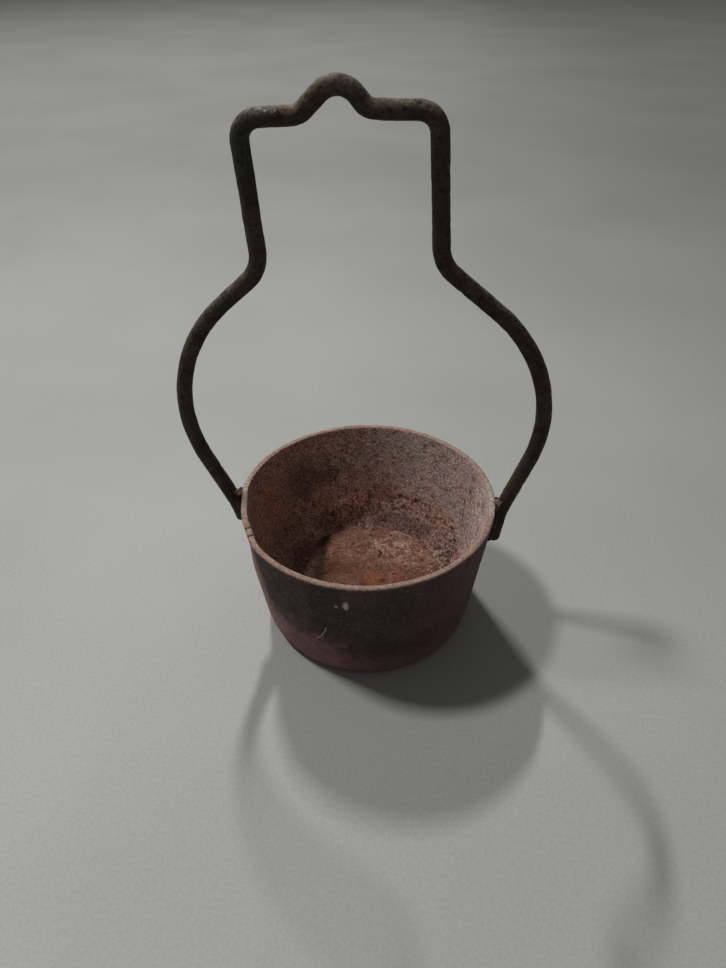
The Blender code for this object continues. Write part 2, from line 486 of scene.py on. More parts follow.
class PotSurface:
    """The fine shape of the casting: where each point moves, and the marks that its finish reads.

    NICKS are the angles of the cracks across the rim. RIDGE, the thick scale at the back of the inner
    floor, and CREASE, a crease in the wall, are lines through points in millimetres.
    """

    NICKS = (math.radians(-153.8), math.radians(-148.5))
    RIDGE = ((21, 60, 26), (30, 58, 26), (38, 55, 26))
    CREASE = ((85, 45, 83), (84, 41, 62), (88, 27, 50))

    def __init__(self):
        self.marks = {"pit": [], "scale": [], "inside": [], "lip": [], "coarse": []}

    def zones(self, place):
        """How far a place belongs to the inside, to the rim's top, and to the coarse crust low inside."""
        radius = math.hypot(place.x, place.y)
        tapered = radius + WALL_TAPER * (POT_HEIGHT - place.z)
        inside = 1.0 if tapered < RIM_RADIUS - WALL / 2 and place.z > FLOOR_THICKNESS / 2 else 0.0
        lip = step_up(place.z, POT_HEIGHT - 1.6 * MM, POT_HEIGHT - 0.6 * MM)
        facing = math.cos(math.atan2(place.y, place.x) - CRUST_ANGLE)
        top = CRUST_TOP + CRUST_CREST * step_up(facing, 0.5, 1.0)
        low = 1 - step_up(place.z, top - CRUST_FADE, top)
        outer = step_up(radius, DISC_RADIUS - 1 * MM, DISC_RADIUS + 1.5 * MM)
        ragged = 0.85 + 0.6 * cloud(place, 12 * MM, 3, 4.0)
        crowded = 0.15 + 0.85 * step_up(facing, 0.1, 0.95)
        return inside, lip, inside * smooth(1.3 * low * outer * ragged * crowded)

    def scale(self, place):
        """The flakes on the inner floor, and a ridge of thicker pale scale at its back."""
        radius = math.hypot(place.x, place.y)
        on_floor = 1 - step_up(radius, DISC_RADIUS - 2 * MM, DISC_RADIUS + 1 * MM)
        if not on_floor or place.z < FLOOR_THICKNESS / 2:
            return 0.0
        flakes = 0.3 * step_up(cloud(place, 8 * MM, 4, 6.0), 0.05, 0.3)
        wander = Vector((cloud(place, 8 * MM, 3, 61.0), cloud(place, 8 * MM, 3, 62.0), 0.0)) * 4.5 * MM
        return on_floor * max(flakes, near_line(place + wander, self.RIDGE, 3.2 * MM))

    def ledge(self, place):
        """1 in the shallow groove round the edge of the inner floor's disc."""
        away = abs(math.hypot(place.x, place.y) - DISC_RADIUS - 0.8 * MM)
        near_floor = 1 - step_up(place.z, FLOOR_THICKNESS + 1 * MM, FLOOR_THICKNESS + 3 * MM)
        near_floor *= 1 - 0.8 * step_up(place.x, 5 * MM, 40 * MM)
        near_floor *= step_up(place.x, -58 * MM, -36 * MM)
        return near_floor * smooth(1.4 * (1 - away / (2.2 * MM)))

    def pitted(self, place, inside, lip, coarse):
        """How far a place lies in a pit, a crack or a crease."""
        fine = pitting(place, 3.4 * MM, 0.25 + 0.35 * inside, 3.0) * (0.3 + 0.7 * inside)
        wide = pitting(place, 4.0 * MM, 0.15 + 0.75 * coarse, 8.0) * (0.1 + 0.9 * coarse)
        pit = max(0.6 * fine * (1 - 0.6 * lip), inside * wide)
        if inside:
            pit = max(pit, 0.6 * near_line(place, self.CREASE, 1.6 * MM))
        return max(pit, lip * self.nick(place))

    def moved(self, place, outward):
        """The place after casting, rust and wear. It adds the place's marks too."""
        inside, lip, coarse = self.zones(place)
        rise = 0.10 * MM * cloud(place, 5 * MM, 3, 1.0) + 0.22 * MM * cloud(place, 22 * MM, 2, 2.0)
        pit = self.pitted(place, inside, lip, coarse)
        scale = inside * self.scale(place)
        crust = coarse * max(0.0, cloud(place, 3.4 * MM, 2, 9.0))
        rise += SCALE_HEIGHT * scale + CRUST_HEIGHT * crust
        rise -= (PIT_DEPTH + (COARSE_PIT_DEPTH - PIT_DEPTH) * coarse) * pit
        rise -= LEDGE_DEPTH * inside * self.ledge(place)
        marks = {"pit": pit, "scale": scale, "inside": inside, "lip": lip, "coarse": coarse}
        for key, value in marks.items():
            self.marks[key].append(value)
        place = place + outward * rise
        place.z += self.rim_wave(place) * step_up(place.z, POT_HEIGHT - 12 * MM, POT_HEIGHT)
        place.z -= NICK_DEPTH * self.nick(place) * lip
        return dented(place)

    def rim_wave(self, place):
        """The rim's height isn't quite even, and its edge is slightly ragged."""
        uneven = 0.35 * cloud(place, 38 * MM, 2, 5.0) + 0.12 * cloud(place, 4 * MM, 2, 7.0)
        return (uneven - 0.25) * MM

    def nick(self, place):
        """1 in the narrow cracks across the rim and 0 elsewhere."""
        angle = math.atan2(place.y, place.x)
        return max(smooth(1 - abs(angle - nick) * RIM_RADIUS / NICK_WIDTH) for nick in self.NICKS)


def build_pot(finish):
    """One closed mesh: a grid for the inner floor, then rings up the inside and down the outside."""
    surface = PotSurface()
    profile = pot_profile()
    steps = ROUND_STEPS // 4
    places = [surface.moved(place, Vector((0, 0, 1))) for place in disc_grid(*profile[0], steps)]
    faces = []
    for row in range(steps):
        for column in range(steps):
            corner = row * (steps + 1) + column
            faces.append((corner, corner + 1, corner + steps + 2, corner + steps + 1))
    tangents = np.gradient(profile, axis=0)
    before = grid_edge(steps)
    for (radius, height), (run, climb) in list(zip(profile, tangents))[1:]:
        length = math.hypot(run, climb)
        ring = []
        for step in range(ROUND_STEPS):
            angle = math.tau * (step / ROUND_STEPS + 0.125)
            away = Vector((math.cos(angle), math.sin(angle), 0.0))
            outward = away * (-climb / length) + Vector((0.0, 0.0, run / length))
            ring.append(len(places))
            places.append(surface.moved(away * radius + Vector((0.0, 0.0, height)), outward))
        faces += ring_faces(before, ring)
        before = ring
    faces.append(tuple(before[::-1]))
    return add_mesh("pot_casting", places, faces, finish, surface.marks)


# The handle


def fillet(before, corner, after, radius, spacing):
    """Points of the bend that joins two straight runs at a corner."""
    back = (before - corner).normalized()
    ahead = (after - corner).normalized()
    half = back.angle(ahead) / 2
    middle = (back + ahead).normalized()
    centre = corner + middle * (radius / math.sin(half))
    turn = math.pi - 2 * half
    steps = max(2, math.ceil(turn * radius / spacing))
    side = (ahead - back).normalized()
    points = []
    for step in range(steps + 1):
        angle = turn * (step / steps - 0.5)
        points.append(centre - middle * radius * math.cos(angle) + side * radius * math.sin(angle))
    return points


def seat_x(height, radius=BAR_RADIUS):
    """How far the bar's centre line is from the pot's axis where the bar lies along the wall."""
    return wall_radius(height) + GAP + radius


def handle_route():
    """The bar's centre line from its left end to its right end, as points in the XZ plane."""
    seat_height = POT_HEIGHT - SEAT_BEND_DEPTH
    left_end = POT_HEIGHT - LEFT_DEPTH
    right_end = POT_HEIGHT - RIGHT_DEPTH
    corners = [(-seat_x(left_end, LEFT_TAPER_RADIUS), left_end, 0.0)]
    corners += [(-seat_x(seat_height), seat_height, SEAT_BEND_RADIUS)]
    corners += [(x, POT_HEIGHT + rise, radius) for x, rise, radius in HANDLE_BENDS]
    corners += [(seat_x(seat_height), seat_height, SEAT_BEND_RADIUS)]
    corners += [(seat_x(right_end), right_end, 0.0)]
    places = [Vector((x, 0.0, z)) for x, z, _ in corners]
    route = [places[0]]
    for index in range(1, len(places) - 1):
        before, corner, after = places[index - 1 : index + 2]
        route += fillet(before, corner, after, corners[index][2], RING_STEP)
    route.append(places[-1])
    return [Vector(point) for point in spaced(route, RING_STEP)]


def bar_pit(place):
    return pitting(place, 3.4 * MM, 0.5, 25.0)


def bar_radius(place):
    """The bar's radius at a place on its surface: forged flats, rust lumps and pits."""
    lumps = 0.28 * cloud(place, 17 * MM, 2, 21.0) + 0.12 * cloud(place, 5 * MM, 3, 23.0)
    return BAR_RADIUS + (lumps - 0.1 - 0.3 * bar_pit(place)) * MM


def end_scale(away, roundness):
    """How full the bar's section is at a distance from its cut end, whose edge is rounded off."""
    share = min(1.0, away / roundness)
    return 1 - (roundness / BAR_RADIUS) * (1 - math.sqrt(1 - (1 - share) ** 2))


def bar_scale(along, length):
    """How full the bar's section is at a distance along it: it is thinned at its left end."""
    thinned = LEFT_TAPER_RADIUS / BAR_RADIUS
    taper = thinned + (1 - thinned) * min(1.0, along / LEFT_TAPER_LENGTH)
    return taper * min(end_scale(along, LEFT_END_ROUNDING), end_scale(length - along, RIGHT_END_ROUNDING))


def build_handle(finish):
    """The bar as rings along its route. The ends are flat with a rounded edge."""
    route = handle_route()
    padded = [route[0], *route, route[-1]]
    tangents = [(after - before).normalized() for before, after in zip(padded, padded[2:])]
    length = RING_STEP * (len(route) - 1)
    places = []
    pits = []
    rings = []
    level = Vector((0.0, 1.0, 0.0))
    for index, (centre, tangent) in enumerate(zip(route, tangents)):
        scale = bar_scale(RING_STEP * index, length)
        upward = tangent.cross(level)
        ring = []
        for side in range(BAR_SIDES):
            angle = math.tau * side / BAR_SIDES
            away = level * math.cos(angle) + upward * math.sin(angle)
            ring.append(len(places))
            places.append(centre + away * bar_radius(centre + away * BAR_RADIUS) * scale)
            pits.append(bar_pit(centre + away * BAR_RADIUS))
        rings.append(ring)
    faces = []
    for first, second in zip(rings, rings[1:]):
        faces += ring_faces(first, second)
    ends = ((rings[0], route[0], -tangents[0]), (rings[-1], route[-1], tangents[-1]))
    for ring, centre, tangent in ends:
        places.append(centre + tangent * 0.3 * MM)
        pits.append(0.0)
        for side in range(BAR_SIDES):
            pair = (ring[side], ring[(side + 1) % BAR_SIDES])
            faces.append((*(pair if ring is rings[0] else pair[::-1]), len(places) - 1))
    return add_mesh("handle_bar", places, faces, finish, {"pit": pits}, sharp=60)


# The welds


# A side weld's bead is a little fuller than its plain solid, and is tucked further into the groove.
WELD_RADIUS = 2.5 * MM
WELD_SETBACK = 2.4 * MM
WELD_SWELL = 1.22
WELD_TUCK = 0.90
WELD_SINK = 0.75
WELD_RINGS = 45
WELD_SIDES = 24
RIPPLE_LENGTH = 3.1 * MM

# The drops of a top weld in millimetres: outward, to the rear and up from the rim, and three radii.
TOP_WELD_DROPS = [
    (0.9, -0.4, -0.8, 2.4, 4.2, 1.5),
    (2.8, -1.2, -0.4, 2.1, 3.6, 2.3),
    (-1.2, -2.4, -0.5, 1.8, 1.7, 0.8),
    (1.6, 2.0, -0.8, 1.6, 1.8, 1.2),
    (4.0, -4.4, 1.2, 1.1, 0.9, 1.8),
    (2.2, -4.6, -2.0, 2.3, 2.4, 2.6),
    (1.2, -3.4, -0.6, 2.2, 2.6, 1.5),
    (1.8, -6.0, -3.6, 2.4, 2.2, 2.6),
]
TOP_WELD_VOXEL = 0.35 * MM


def side_weld_angle(height):
    """The angle round the pot from the bar to a weld that lies against both the bar and the wall."""
    weld_centre = wall_radius(height) + GAP + WELD_RADIUS
    reach = BAR_RADIUS + 2 * GAP + WELD_RADIUS
    cosine = (seat_x(height) ** 2 + weld_centre**2 - reach**2) / (2 * seat_x(height) * weld_centre)
    return math.acos(cosine)


def build_side_weld(name, side, face, finish):
    """A rippled bead down the groove between the bar and the wall, in the place of its plain solid."""
    top = POT_HEIGHT - WELD_SETBACK
    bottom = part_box(name)[0].z + 0.6 * MM
    rings = []
    places = []
    for step in range(WELD_RINGS):
        share = step / (WELD_RINGS - 1)
        height = top + (bottom - top) * share
        angle = side_weld_angle(height) * WELD_TUCK
        reach = wall_radius(height) + GAP + WELD_RADIUS * WELD_SINK
        centre = Vector((side * reach * math.cos(angle), face * reach * math.sin(angle), height))
        taper = math.sqrt(max(0.02, 1 - (2 * share - 1) ** 6))
        ripple = 1 + 0.03 * abs(math.sin(math.pi * height / RIPPLE_LENGTH))
        ring = []
        for turn in range(WELD_SIDES):
            around = math.tau * turn / WELD_SIDES
            away = Vector((math.cos(around), math.sin(around), 0.0))
            lump = 1 + 0.07 * cloud(centre + away * WELD_RADIUS, 4.5 * MM, 3, 31.0)
            swell = WELD_SWELL * taper * ripple * lump
            ring.append(len(places))
            places.append(dented(centre + away * WELD_RADIUS * swell, 0.6))
        rings.append(ring)
    faces = [tuple(rings[0]), tuple(rings[-1][::-1])]
    for first, second in zip(rings, rings[1:]):
        faces += ring_faces(first, second)
    return add_mesh(name + "_bead", places, faces, finish)


def build_top_weld(name, side, finish):
    """A thin run of weld over the rim's outer edge, with a short strand of it up the bar."""
    middle = Vector((side * (RIM_RADIUS + 0.6 * MM), 0.0, POT_HEIGHT))
    shape = bmesh.new()
    for out, along, up, *radii in TOP_WELD_DROPS:
        blob = bmesh.ops.create_icosphere(shape, subdivisions=4, radius=1.0)["verts"]
        bmesh.ops.scale(shape, vec=[radius * MM for radius in radii], verts=blob)
        bmesh.ops.translate(shape, vec=middle + Vector((side * out, along, up)) * MM, verts=blob)
    for point in shape.verts:
        away = (point.co - middle).normalized()
        point.co += away * (0.35 * MM * cloud(point.co, 3.0 * MM, 3, 33.0))
        point.co = dented(point.co, 0.6)
    mesh = bpy.data.meshes.new(name + "_bead")
    shape.to_mesh(mesh)
    shape.free()
    bead = bpy.data.objects.new(name + "_bead", mesh)
    bpy.context.scene.collection.objects.link(bead)
    merge = bead.modifiers.new("merge", "REMESH")
    merge.mode = "VOXEL"
    merge.voxel_size = TOP_WELD_VOXEL
    merge.use_smooth_shade = True
    mesh.materials.append(finish)
    return bead


# Finishes


INNER_BROWN = (0.305, 0.190, 0.142)
INNER_PINK = (0.555, 0.412, 0.368)
INNER_GREY = (0.460, 0.376, 0.352)
INNER_RUST = (0.300, 0.165, 0.119)
# Soot inside the pot, also used as painted shade low in the left corner.
SOOT_AND_SHADE = (0.075, 0.056, 0.056)
ORANGE_RUST = (0.340, 0.120, 0.052)
RED_RUST = (0.235, 0.088, 0.066)
CRUMB_DARK = (0.110, 0.058, 0.046)
CRUMB_PALE = (0.310, 0.172, 0.126)
CRUMB_TAN = (0.430, 0.290, 0.200)
SCALE_PALE = (0.560, 0.450, 0.345)
FLOOR_ROSE = (0.242, 0.114, 0.090)
FLOOR_TAN = (0.286, 0.164, 0.107)
# Orange brown of the inner floor's front, darkened as painted shade.
FLOOR_FRONT_SHADE = (0.098, 0.039, 0.018)
FLOOR_PINK = (0.270, 0.145, 0.125)
FLOOR_ORANGE = (0.200, 0.066, 0.024)
FLOOR_RED = (0.180, 0.055, 0.036)
# Colour of the painted shadow at the left of the inner floor.
PAINTED_FLOOR_SHADOW = (0.028, 0.015, 0.012)
FLOOR_TONE = (0.90, 0.80, 0.75)
LIP_PINK = (0.305, 0.194, 0.155)
LIP_GREY = (0.330, 0.275, 0.235)
OUTER_BLACK = (0.047, 0.033, 0.035)
OUTER_BROWN = (0.082, 0.046, 0.047)
OUTER_RED = (0.130, 0.062, 0.056)
OUTER_TAN = (0.350, 0.215, 0.185)
OUTER_GREEN = (0.070, 0.075, 0.062)
# Paler red of the foot: partly rust, partly painted light reflected from the floor.
OUTER_FOOT_RUST_AND_BOUNCE = (0.275, 0.148, 0.140)
CREASE_TAN = (0.400, 0.315, 0.230)
# Near black for painted shade in the cracks, the crease and the groove round the inner floor.
CREVICE_SHADE = (0.030, 0.018, 0.014)
DEEP_RED = (0.085, 0.038, 0.030)
PAINT_PALE = (0.640, 0.580, 0.460)


def inner_wall(made):
    """Pinkish grey on the right, where the inside is cleanest, and browner and sootier to the left, with
    painted shade low in the left corner and painted shadow by the floor.
    """
    right = made.ease(made.axis(0), -0.085, 0.048)
    colour = made.mix(right, INNER_BROWN, INNER_PINK)
    colour = made.blend(colour, made.ease(made.grain(24 * MM, 1.0, 4.0), 0.42, 0.60), right, INNER_GREY)
    colour = made.blend(colour, made.ease(made.grain(9 * MM, 2.0, 5.0, 0.65), 0.48, 0.66), 0.6, INNER_RUST)
    colour = made.stain(colour, (-91, 33, 80), (11, 14, 20), 0.50, ORANGE_RUST)
    colour = made.stain(colour, (-50, 77, 47), (18, 14, 8), 0.35, ORANGE_RUST)
    colour = made.stain(colour, (12, 92, 50), (20, 12, 10), 0.45, RED_RUST)
    colour = made.stain(colour, (-66, 68, 78), (20, 18, 24), 0.70, SOOT_AND_SHADE, 0.35)
    # Painted shade low in the back-left corner.
    colour = made.stain(colour, (-45, 68, 30), (14, 12, 12), 0.55, SOOT_AND_SHADE, 0.35)
    colour = made.stain(colour, (-44, 84, 76), (13, 12, 15), 0.70, SOOT_AND_SHADE)
    # Painted shade over the lower left wall.
    colour = made.stain(colour, (-70, 28, 40), (22, 42, 15), 0.50, SOOT_AND_SHADE, 0.4)
    # Painted shadow at the left edge of the inner floor.
    colour = made.stain(colour, (-60, 8, 26), (16, 42, 6), 0.55, PAINTED_FLOOR_SHADOW, 0.2)
    colour = made.blend(colour, made.ease(made.axis(1), -0.05, -0.09), 0.55, INNER_BROWN)
    colour = made.stain(colour, (82, 38, 56), (7, 9, 20), 0.5, CREASE_TAN, 0.4)
    # Painted shade in the crease down the right wall.
    colour = made.blend(colour, made.stroke(PotSurface.CREASE, 1.1), 0.5, CREVICE_SHADE)
    speckled = made.patch((-39, 88, 83), (10, 12, 17), 0.3)
    specks = made.math("MULTIPLY", made.flecks(2.6 * MM, 0.6, 31.0, 0.42), speckled)
    return made.blend(colour, specks, 0.90, SCALE_PALE)


def inner_floor(made):
    """Rose at the back and orange brown in front, with flakes of cream scale. The front is darker with
    painted shade, and the left has a painted shadow.
    """
    colour = made.mix(made.ease(made.grain(10 * MM, 3.0, 5.0, 0.6), 0.42, 0.60), FLOOR_ROSE, FLOOR_TAN)
    colour = made.blend(colour, made.ease(made.grain(5 * MM, 4.0, 4.0), 0.52, 0.64), 0.6, RED_RUST)
    colour = made.stain(colour, (-10, 57, 26), (26, 8, 9), 0.7, FLOOR_PINK, 0.3)
    colour = made.stain(colour, (-9, 38, 26), (6, 5, 9), 0.6, RED_RUST)
    colour = made.stain(colour, (31, 50, 26), (10, 8, 9), 0.5, FLOOR_TAN)
    cream = made.ease(made.grain(6 * MM, 43.0, 5.0, 0.65), 0.48, 0.58)
    colour = made.blend(colour, made.math("MULTIPLY", cream, cream_field(made)), 0.75, SCALE_PALE)
    colour = made.stain(colour, (7, 40, 26), (4, 4, 9), 0.75, SCALE_PALE)
    colour = made.stain(colour, (30, 43, 26), (7, 5, 9), 0.70, SCALE_PALE)
    colour = made.blend(colour, made.mark("scale"), 0.7, SCALE_PALE)
    # Front of the inner floor: orange brown, made darker with painted shade.
    front = made.math("ADD", made.axis(1), made.math("MULTIPLY", made.grain(14 * MM, 44.0, 4.0), 16 * MM))
    colour = made.blend(colour, made.ease(front, 0.034, 0.014), 0.85, FLOOR_FRONT_SHADE)
    colour = made.stain(colour, (5, -1, 26), (10, 10, 9), 0.55, FLOOR_ORANGE)
    colour = made.stain(colour, (28, 3, 26), (6, 9, 9), 0.6, FLOOR_RED)
    colour = made.stain(colour, (21, 5, 26), (2.5, 16, 9), 0.35, FLOOR_TAN, 0.3)
    speckled = made.patch((-28, 40, 26), (9, 19, 9))
    speckled = made.math("MAXIMUM", speckled, made.patch((54, 14, 26), (10, 9, 9)))
    speckled = made.math("MAXIMUM", speckled, made.patch((-10, 22, 26), (10, 7, 9)))
    specks = made.math("MULTIPLY", made.flecks(2.6 * MM, 0.45, 5.0), speckled)
    colour = made.blend(colour, specks, 0.75, SCALE_PALE)
    # Painted shade in a forked crack on the inner floor.
    crack = made.stroke(((8.5, 33, 26), (10.5, 30, 26), (9.5, 26, 26)), 1.7)
    fork = made.stroke(((3, 42, 26), (5, 36, 26), (8.5, 33, 26)), 1.0)
    colour = made.blend(colour, made.math("MAXIMUM", crack, made.math("MULTIPLY", fork, 0.6)), 0.9, CREVICE_SHADE)
    # Painted shadow: the inner floor is darkened from a wavy line some 35 to 40 mm left of the axis, and
    # less so again from 42 to 56 mm left.
    shadow_reach = made.math("ADD", made.axis(0), made.math("MULTIPLY", made.grain(9 * MM, 45.0, 3.0), 5 * MM))
    floor_shadow_mask = made.ease(shadow_reach, -0.042, -0.056, 1.0, 0.45)
    floor_shadow_mask = made.math("MULTIPLY", made.ease(shadow_reach, -0.0345, -0.0405), floor_shadow_mask)
    colour = made.mix(1.0, colour, FLOOR_TONE, "MULTIPLY")
    return made.blend(colour, floor_shadow_mask, 0.9, PAINTED_FLOOR_SHADOW)


def cream_field(made):
    """Where the inner floor carries cream scale: right of its middle, and towards the back."""
    middle = made.patch((14, 40, 26), (17, 13, 9), 0.4)
    return made.math("MAXIMUM", middle, made.patch((34, 34, 26), (15, 16, 9), 0.4))


def outer_wall(made):
    """Sooty purple black, with red rust on the right, and tan at the left edge. Low down along the foot it
    is paler and redder: partly red rust, partly painted light reflected from the floor.
    """
    colour = made.mix(made.ease(made.grain(30 * MM, 5.0, 4.0), 0.38, 0.64), OUTER_BLACK, OUTER_BROWN)
    colour = made.blend(colour, made.ease(made.axis(0), 0.020, 0.085), 0.55, OUTER_RED)
    # Paler red low down, most at the front left: partly red rust, partly painted light reflected from the
    # floor.
    colour = made.blend(colour, made.ease(made.axis(2), 0.040, 0.004), 0.55, OUTER_FOOT_RUST_AND_BOUNCE)
    colour = made.stain(colour, (-45, -78, 24), (48, 28, 30), 0.70, OUTER_FOOT_RUST_AND_BOUNCE, 0.4)
    colour = made.stain(colour, (-93, -36, 62), (24, 38, 80), 0.80, OUTER_TAN, 0.25)
    colour = made.stain(colour, (-74, -58, 32), (16, 20, 24), 0.55, OUTER_TAN)
    colour = made.stain(colour, (-20, -99, 79), (6, 9, 4), 0.5, OUTER_GREEN)
    flecks = made.flecks(2.6 * MM, made.ease(made.axis(0), 0.0, -0.05, 0.03, 0.12), 6.0)
    colour = made.blend(colour, flecks, 0.5, LIP_GREY)
    return made.blend(colour, paint_marks(made), 0.85, PAINT_PALE)


def paint_marks(made):
    """A curved scratch, a spot and a small dot of pale paint on the front of the pot."""
    scratch = made.stroke(((-25, -96, 65), (-26.2, -95.2, 60), (-29, -93.4, 53), (-33.8, -90.4, 45.4)), 0.62)
    spot = made.patch((-8.2, -103, 98.5), (2.4, 6, 5.0), 0.45)
    dot = made.patch((-15.5, -102, 96.5), (1.3, 6, 1.1), 0.35)
    return made.math("MAXIMUM", scratch, made.math("MAXIMUM", spot, dot))


def floor_edge(made):
    """How far a place lies on the inner floor's disc, and in the thin line of painted shade round the disc.

    Both fade out at the far left, where the painted shadow covers the edge.
    """
    wander = made.math("MULTIPLY", made.math("SUBTRACT", made.grain(12 * MM, 41.0, 4.0), 0.5), 3.5 * MM)
    past = made.math("SUBTRACT", made.math("ADD", made.reach(), wander), DISC_RADIUS)
    near_floor = made.ease(made.axis(2), FLOOR_THICKNESS + 1.5 * MM, FLOOR_THICKNESS + 3 * MM, 1.0, 0.0)
    disc = made.math("MULTIPLY", made.ease(past, -0.3 * MM, 0.5 * MM, 1.0, 0.0), near_floor)
    disc = made.math("MULTIPLY", disc, made.ease(made.axis(0), -0.060, -0.046))
    away = made.math("ABSOLUTE", made.math("SUBTRACT", past, 0.6 * MM))
    line = made.ease(away, 0.2 * MM, 0.9 * MM, 1.0, 0.0)
    line = made.math("MULTIPLY", line, made.ease(made.grain(14 * MM, 42.0), 0.40, 0.60, 0.25, 1.0))
    line = made.math("MULTIPLY", line, made.ease(made.axis(0), -0.058, -0.036, 0.0, 1.0))
    return disc, made.math("MULTIPLY", line, made.ease(made.axis(0), 0.045, -0.005, 0.2, 1.0))


def rim_nick_shade(made):
    """Painted shade in the two narrow cracks across the rim."""
    strokes = []
    for angle in PotSurface.NICKS:
        ends = [(reach * math.cos(angle), reach * math.sin(angle), 118.7) for reach in (97.5, 106.0)]
        strokes.append(made.stroke(ends, 1.5))
    return made.math("MAXIMUM", *strokes)


def crusted(made, colour, coarse, disc):
    """The coarse crust low inside: crumbs of many browns, redder and darker right behind the disc."""
    crumbs = made.mix(made.ease(made.grain(3.0 * MM, 3.3, 3.0, 0.7), 0.42, 0.60), CRUMB_DARK, CRUMB_PALE)
    crumbs = made.blend(crumbs, made.ease(made.grain(9 * MM, 3.6, 4.0), 0.48, 0.62), 0.6, RED_RUST)
    crumbs = made.blend(crumbs, made.ease(made.grain(2.2 * MM, 3.8, 3.0, 0.7), 0.56, 0.64), 0.7, CRUMB_TAN)
    colour = made.blend(colour, coarse, 0.90, crumbs)
    right = made.patch((38, 62, 29), (24, 14, 8), 0.3)
    deep = made.math("MAXIMUM", right, made.patch((13, 74, 29), (27, 10, 7), 0.3))
    return made.blend(colour, made.math("SUBTRACT", deep, disc, True), 0.62, DEEP_RED)


def dark_flecks(made, coarse, disc):
    """1 in the small black pits inside. They crowd together in the crust, and are few on the disc."""
    crowd = made.ease(made.grain(11 * MM, 46.0, 3.0), 0.40, 0.60, 0.45, 1.0)
    share = made.math("MULTIPLY", made.ease(coarse, 0.0, 1.0, 0.42, 0.66), crowd)
    share = made.math("MULTIPLY", share, made.ease(disc, 0.0, 1.0, 1.0, 0.35))
    share = made.math("MULTIPLY", share, made.ease(made.axis(1), -0.05, -0.09, 1.0, 0.4))
    small = made.flecks(2.5 * MM, share, 8.0, 0.36)
    large = made.flecks(4.6 * MM, made.ease(coarse, 0.1, 1.0, 0.03, 0.5), 8.5, 0.27)
    return made.math("MAXIMUM", small, large)


def crust_painted_light(made, colour, coarse):
    """Painted light on the crust: paler higher up, and at the back left, where little light falls on it."""
    painted_back_light = made.ease(made.patch((-16, 84, 42), (26, 16, 22), 0.3), 0.0, 1.0, 1.0, 1.45)
    painted_lift = made.math("MULTIPLY", painted_back_light, made.ease(made.axis(2), 0.033, 0.046, 1.0, 1.75))
    return made.shade(colour, made.ease(coarse, 0.0, 1.0, 1.0, painted_lift))


def worn_lip(made):
    """The rim's top, rubbed to a pale pinkish grey, and greyer beside the two seats of the bar."""
    left = made.patch((-105, 3, 120), (12, 26, 9))
    seats = made.math("MAXIMUM", left, made.patch((105, 0, 120), (9, 26, 9)))
    flecks = made.flecks(2.2 * MM, 0.28, 9.5)
    return made.shade(made.mix(seats, LIP_PINK, LIP_GREY), made.ease(flecks, 0.0, 1.0, 1.0, 0.62))


def grained(made, colour, inside, lip, disc):
    """Fine grain over all of the casting. It is coarser inside, and more so to the left."""
    rough = made.math("SUBTRACT", inside, made.math("MULTIPLY", lip, 0.7), True)
    low = made.ease(rough, 0.0, 1.0, 0.74, 0.62)
    high = made.ease(rough, 0.0, 1.0, 1.24, 1.36)
    colour = made.shade(colour, made.ease(made.grain(2.3 * MM, 7.0, 3.0, 0.75), 0.34, 0.66, low, high))
    left = made.math("MULTIPLY", made.ease(made.axis(0), 0.060, -0.060), rough)
    left = made.math("MULTIPLY", left, made.ease(disc, 0.0, 1.0, 1.0, 0.3))
    low = made.ease(left, 0.0, 1.0, 0.80, 0.42)
    high = made.ease(left, 0.0, 1.0, 1.24, 1.62)
    return made.shade(colour, made.ease(made.grain(1.3 * MM, 7.5, 2.0, 0.8), 0.36, 0.64, low, high))


def cast_iron():
    """Rusted cast iron: pinkish brown and pitted inside, sooty outside, and worn pale on the rim."""
    made = Finish("cast_iron", 0.3)
    coarse = made.mark("coarse")
    lip = made.mark("lip")
    inside = made.mark("inside")
    disc, edge = floor_edge(made)
    colour = made.mix(disc, inner_wall(made), inner_floor(made))
    colour = crusted(made, colour, coarse, disc)
    # Painted shade in the groove round the inner floor's disc.
    colour = made.blend(colour, made.math("MULTIPLY", edge, inside), 0.75, CREVICE_SHADE)
    dark = dark_flecks(made, coarse, disc)
    colour = made.shade(colour, made.ease(dark, 0.0, 1.0, 1.0, made.ease(coarse, 0.0, 1.0, 0.32, 0.20)))
    # Painted light on the crust low inside.
    colour = crust_painted_light(made, colour, coarse)
    pale = made.flecks(2.6 * MM, made.ease(disc, 0.0, 1.0, 0.10, 0.0), 9.0)
    colour = made.blend(colour, pale, 0.5, SCALE_PALE)
    colour = made.mix(inside, outer_wall(made), colour)
    colour = made.blend(colour, lip, 0.9, worn_lip(made))
    colour = grained(made, colour, inside, lip, disc)
    colour = made.shade(colour, made.ease(made.mark("pit"), 0.0, 0.9, 1.0, 0.35))
    # Painted shade in the cracks across the rim.
    colour = made.blend(colour, rim_nick_shade(made), 0.95, CREVICE_SHADE)
    roughness = made.ease(made.grain(4 * MM, 8.0), 0.3, 0.7, 0.95, 0.70)
    cells = made.math("MULTIPLY", made.cells(1.9 * MM), 0.6)
    fine = made.math("ADD", made.grain(1.6 * MM, 9.0, 4.0, 0.65), cells)
    fine = made.math("SUBTRACT", fine, made.math("MULTIPLY", dark, 0.8))
    return made.finish(colour, roughness, made.bump(fine, 0.45 * MM))


BAR_BLACK = (0.032, 0.027, 0.021)
BAR_BROWN = (0.064, 0.038, 0.027)
BAR_RED = (0.050, 0.022, 0.018)
BAR_GREEN = (0.030, 0.034, 0.025)
# Paler brown for the bar's upper faces: worn, and partly painted light from above.
BAR_WORN_AND_LIT = (0.170, 0.125, 0.095)
BAR_RUBBED = (0.135, 0.090, 0.062)
SCUFF_PALE = (0.450, 0.450, 0.420)
WELD_DARK = (0.040, 0.018, 0.014)
WELD_BROWN = (0.072, 0.044, 0.033)
WELD_TAN = (0.175, 0.128, 0.094)


